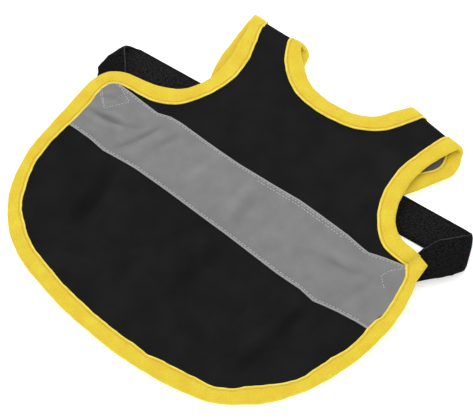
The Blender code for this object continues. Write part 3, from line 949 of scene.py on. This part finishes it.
# grey reflective tape across the back; its edges wander, each row x, upper edge, lower edge
tape = {
    "low": -24.8,
    "high": 25.2,
    "endsBelow": 45.0,
    "inset": 12.0,
    "grid": 1.6,
    "rise": 1.05,
    "thickness": 0.7,
    "edgeStripe": 1.1,
    "stitchIn": 2.0,
    "stitchDip": 0.22,
    "dipWidth": 0.7,
    "cutBeside": 0.6,
    # stitch lines along the tape run from x to x; the second row at the top is a short one
    "sewn": (-126.0, 128.0),
    "sewnTwice": (5.0, 81.0),
    "secondRow": 21.3,
    "step": 2.0,
    "thread": {"pitch": 2.6, "length": 1.7, "width": 0.55, "height": 0.35, "lift": 0.38},
    "boxThread": {"pitch": 2.2, "length": 1.5},
}
tapeEdges = (
    (-140, 0, 1.5), (-122, -0.4, 2.3), (-108, -1.2, 2), (-94, -2.2, 0.3), (-84, -2.9, 1.2),
    (-75, 0.2, 2), (-66, 0.8, 2.6), (-44, 0, 2.2), (-12, -0.9, 1), (13, 0.2, 0.2), (38, 1.8, -1.3),
    (60, 0.9, -2.4), (80, 0, -2.4), (92, -1.8, -4.2), (99, -2.6, -2.8), (110, 0.8, -0.8),
    (124, 4.2, 0.8), (140, 5.6, 1.4),
)


def tapeShift(x, y):
    rows = np.array(tapeEdges)
    upper = np.interp(x, rows[:, 0], rows[:, 1])
    lower = np.interp(x, rows[:, 0], rows[:, 2])
    share = (y - tape["low"]) / (tape["high"] - tape["low"])
    return lower + (upper - lower) * share


def makeTape():
    places = [wingCorner] + [place for place in runs["hem"] if place["at"][1] < tape["endsBelow"]]
    cloth = cutPanel(places, [tape["inset"] + place.get("lip", 0) for place in places])
    cutAcross(cloth, (0, tape["high"]), (0, 1), clear=True)
    cutAcross(cloth, (0, tape["low"]), (0, -1), clear=True)
    stitchIn, beside = tape["stitchIn"], tape["cutBeside"]
    for edgeIn in (tape["edgeStripe"], stitchIn - beside, stitchIn, stitchIn + beside):
        cutAcross(cloth, (0, tape["high"] - edgeIn), (0, 1))
        cutAcross(cloth, (0, tape["low"] + edgeIn), (0, 1))
    gridPanel(cloth, tape["grid"])
    paintCreaseShade(cloth)
    mapFlat(cloth)
    for face in cloth.faces:
        middle = face.calc_center_median().y
        nearEdge = min(tape["high"] - middle, middle - tape["low"]) < tape["edgeStripe"]
        face.material_index = 1 if nearEdge else 0
    spots = np.array([vertex.co[:] for vertex in cloth.verts])
    fromEdge = np.minimum(tape["high"] - spots[:, 1], spots[:, 1] - tape["low"])
    dip = tape["stitchDip"] * np.exp(-(((fromEdge - stitchIn) / tape["dipWidth"]) ** 2))
    spots[:, 2] = tape["rise"] - dip
    spots[:, 1] += tapeShift(spots[:, 0], spots[:, 1])
    for vertex, spot in zip(cloth.verts, drape(spots, 1, None)):
        vertex.co = spot
    turnFaces(cloth, True)
    return cloth


reflectiveTape = sendToScene("reflectiveTape", makeTape(), [greyTape, greyTapeEdge])
addThickness(reflectiveTape, tape["thickness"])
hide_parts("reflective_band")


def tapeLine(points):
    corners = np.array(points, float)
    spots = []
    for here, there in zip(corners, corners[1:]):
        count = max(2, round(np.linalg.norm(there - here) / tape["step"]))
        shares = np.linspace(0, 1, count, endpoint=False)
        spots += [here + (there - here) * share for share in shares]
    flat = np.array(spots + [corners[-1]])
    rise = np.full(len(flat), tape["rise"] - tape["stitchDip"] / 2)
    laid = drape(np.column_stack((flat, rise)), 1, None)
    ahead = drape(np.column_stack((flat + (1, 0), rise)), 1, None) - laid
    beside = drape(np.column_stack((flat + (0, 1), rise)), 1, None) - laid
    return laid, np.cross(ahead, beside)


tapeSewing = bmesh.new()
for rowY, span in (
    (tape["high"] - tape["stitchIn"], tape["sewn"]),
    (tape["low"] + tape["stitchIn"], tape["sewn"]),
    (tape["secondRow"], tape["sewnTwice"]),
):
    wandering = [(x, rowY + tapeShift(x, rowY)) for x in np.arange(*span, tape["step"])]
    sewLine(tapeSewing, *tapeLine(wandering), tape["thread"])
boxCorners = (  # the left end is sewn over a second time
    ((-129.0, 12.2), (-115.8, 2.0), (-105.3, 16.8), (-122.6, 24.8)),
    ((-127.6, 13.4), (-117.0, 3.4), (-114.8, 4.6)),
    ((126.0, 28.0), (119.6, 21.0), (116.5, 13.0), (124.5, 6.0)),
)
for corners in boxCorners:
    sewLine(tapeSewing, *tapeLine(corners), {**tape["thread"], **tape["boxThread"]})
tapeStitches = sendToScene("tapeStitches", tapeSewing, [greyThread])
bpy.data.meshes.remove(spindle)
print("tape made:", len(reflectiveTape.data.polygons), "faces")

# elastic belly strap, turned back at both ends
strap = {
    "width": 28.0,
    "thick": 1.6,
    "centre": (0.0, 59.7),
    "tilt": 4.24,
    "low": 0.8,
    "high": 6.6,
    "bendShare": 0.33,
    "edge": 0.9,
    "columns": 9,
    # the rounded side of the section, each row inward and share of the half thickness
    "rim": ((0.9, 1.0), (0.08, 0.6), (0, 0), (0.08, -0.6), (0.9, -1.0)),
    # shares of the fold from which the far side narrows and the near edge gets a painted highlight
    "farFrom": 0.4,
    "paleFrom": 0.6,
    # slide is how far the turned end slips along the fold; sides say what its near and far side
    # lose at each share of the flap; bow pushes the fold out, each row the way along it and how
    # far; innerTone is how much lighter the inner face is near this fold
    "right": {
        "alongStrap": 144.6, "heading": 119.0, "flap": 56.0, "bend": 4.0, "slide": -3.2,
        "innerTone": 0.5,
        "sides": (
            (0.0, -0.3, -2.4), (0.11, -0.9, -1.2), (0.2, 0.6, -0.1), (0.265, 2.3, 0.4),
            (0.32, 2.9, 0.85), (0.36, 4.1, 1.15), (0.45, 6.5, 1.7), (0.55, 7.0, 2.2),
            (1.0, 8.0, 4.0),
        ),
        "bowReach": 14.0,
        "bow": ((-24, -6.0), (-20, -2.6), (-15, -0.8), (-9, -0.1), (2, 1.0), (8, 0.9), (13, -0.4)),
    },
    "left": {
        "alongStrap": -142.3, "heading": 68.0, "flap": 44.0, "bend": -2.0, "slide": -2.0,
        "innerTone": 0.9,
        "sides": ((0.0, 4.4, 0.4), (0.33, 4.4, 0.4), (1.0, 4.4, 0.4)),
        "bowReach": 26.0,
        "bow": (
            (-22, -8.0), (-17, -5.2), (-13, -3.6), (-9, -1.2), (-5, -0.7), (-3, -0.3), (2, 0.9),
            (6, 1.0), (9, 0.0), (13, -2.0),
        ),
    },
}


def strapSide(turn, sign):
    runWay = heading(strap["tilt"])
    way = runWay * sign
    along = heading(turn["heading"])
    outward = np.array((along[1], -along[0])) * sign
    start = np.array(strap["centre"]) + runWay * turn["alongStrap"]
    fold = makeFold(start, along, outward, strap["high"], strap["low"])
    fold.update(level=True, bow=turn["bow"], bowReach=turn["bowReach"])
    drift = np.dot(way, along) / np.dot(way, outward)
    folded = runOver(fold, 0.0, drift, 1, -1)
    over = folded["first"] + folded["second"]
    for place, share in zip(over, np.linspace(0, 1, len(over))):
        near, far = eased(share, 0, 1), eased(share, strap["farFrom"], 1)
        place["at"] = place["at"] + along * turn["slide"] * near
        place["narrow"] = np.array(turn["sides"][0][1:]) * (near, far)
        place["pale"] = share > strap["paleFrom"]
    landing = over[-1]["at"]
    flapWay = along * np.dot(way, along) - outward * np.dot(way, outward)
    clear = strap["width"] / 2 * abs(drift) + garment["seamGap"]
    bendAt = landing + flapWay * (clear + turn["flap"] * strap["bendShare"])
    turned = math.degrees(math.atan2(flapWay[1], flapWay[0])) + turn["bend"]
    tip = bendAt + heading(turned) * turn["flap"] * (1 - strap["bendShare"])
    corners = np.array([landing + flapWay * clear, bendAt, tip])
    shares = [row[0] for row in turn["sides"]]
    bends = (0, strap["bendShare"], 1)
    spots = np.stack([np.interp(shares, bends, corners[:, k]) for k in (0, 1)], axis=1)
    flap = makeRun(spots, 1, 1, fold)
    for place, row in zip(flap, turn["sides"]):
        place["across"] = place["across"] * np.sign(np.dot(place["across"], along))
        place["narrow"] = np.array(row[1:])
        place["pale"] = True
    for place in over + flap:
        place["innerTone"] = turn["innerTone"]
    return over + flap


def strapSection(mark, place):
    thick, edge = strap["thick"] / 2, strap["edge"]
    near, far = np.array((1, -1)) * (strap["width"] / 2 - place["narrow"])
    nearSide = [(near - inset, -rise * thick) for inset, rise in strap["rim"]]
    farSide = [(far + inset, rise * thick) for inset, rise in strap["rim"]]
    across = np.linspace(near - edge, far + edge, strap["columns"] + 2)[1:-1]
    top = [(inward, thick) for inward in across]
    below = [(inward, -thick) for inward in across[::-1]]
    return nearSide + top + farSide + below


def makeStrap():
    places = strapSide(strap["left"], -1)[::-1] + strapSide(strap["right"], 1)
    rim, columns = len(strap["rim"]), strap["columns"]
    return wrapSleeve(
        places, strapSection, False, edgeColumns=range(rim - 1),
        innerColumns=range(2 * rim + columns, 2 * (rim + columns)),
    )


bellyStrap = sendToScene("bellyStrap", makeStrap(), [blackElastic, elasticEdgeHighlight])
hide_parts("belly_strap")
print("strap made")

# pale floor, soft studio light and the camera at the photograph's angle
studio = {
    "floorSize": 6.0,
    "floorLook": {
        "Base Color": (0.93, 0.93, 0.93, 1), "Roughness": 0.9,
        "Emission Color": (1, 1, 1, 1), "Emission Strength": 0.42,
    },
    "floorBelow": 0.0002,
    "sky": {"Color": (1, 1, 1, 1), "Strength": 0.85},
    "key": {"power": 12.0, "at": (-0.9, 0.7, 1.6), "size": 2.2},
    "fill": {"power": 4.0, "at": (1.1, -0.9, 1.2), "size": 1.6},
}
view = {"target": (0.00208, -0.00135, 0.0), "at": (0.4979, -0.6143, 1.1804), "lens": 158.86}


def makeFloor():
    plane = bmesh.new()
    bmesh.ops.create_grid(plane, x_segments=1, y_segments=1, size=studio["floorSize"] / 2)
    bmesh.ops.translate(plane, verts=plane.verts, vec=(0, 0, -studio["floorBelow"]))
    floor = linkNew("floor", meshFrom("floor", plane))
    material = bpy.data.materials.new("floorPaper")
    material.use_nodes = True
    tree = material.node_tree
    feed(tree, tree.nodes["Principled BSDF"], studio["floorLook"])
    floor.data.materials.append(material)


def makeLight(name, power, at, size):
    lamp = bpy.data.lights.new(name, "AREA")
    lamp.energy = power
    lamp.shape = "DISK"
    lamp.size = size
    light = linkNew(name, lamp)
    light.location = at
    light.rotation_euler = (-Vector(at)).to_track_quat("-Z", "Y").to_euler()


def makeCamera():
    lens = bpy.data.cameras.new("camera")
    lens.sensor_width = 36
    lens.sensor_fit = "HORIZONTAL"
    lens.lens = view["lens"]
    camera = linkNew("camera", lens)
    camera.location = view["at"]
    aim = Vector(view["target"]) - Vector(view["at"])
    camera.rotation_euler = aim.to_track_quat("-Z", "Y").to_euler()
    bpy.context.scene.camera = camera


makeFloor()
for name in ("key", "fill"):
    makeLight(name, **studio[name])
makeCamera()
world = bpy.data.worlds.new("studio")
world.use_nodes = True
feed(world.node_tree, world.node_tree.nodes["Background"], studio["sky"])
bpy.context.scene.world = world
bpy.context.scene.view_settings.view_transform = "Standard"
print("studio made")
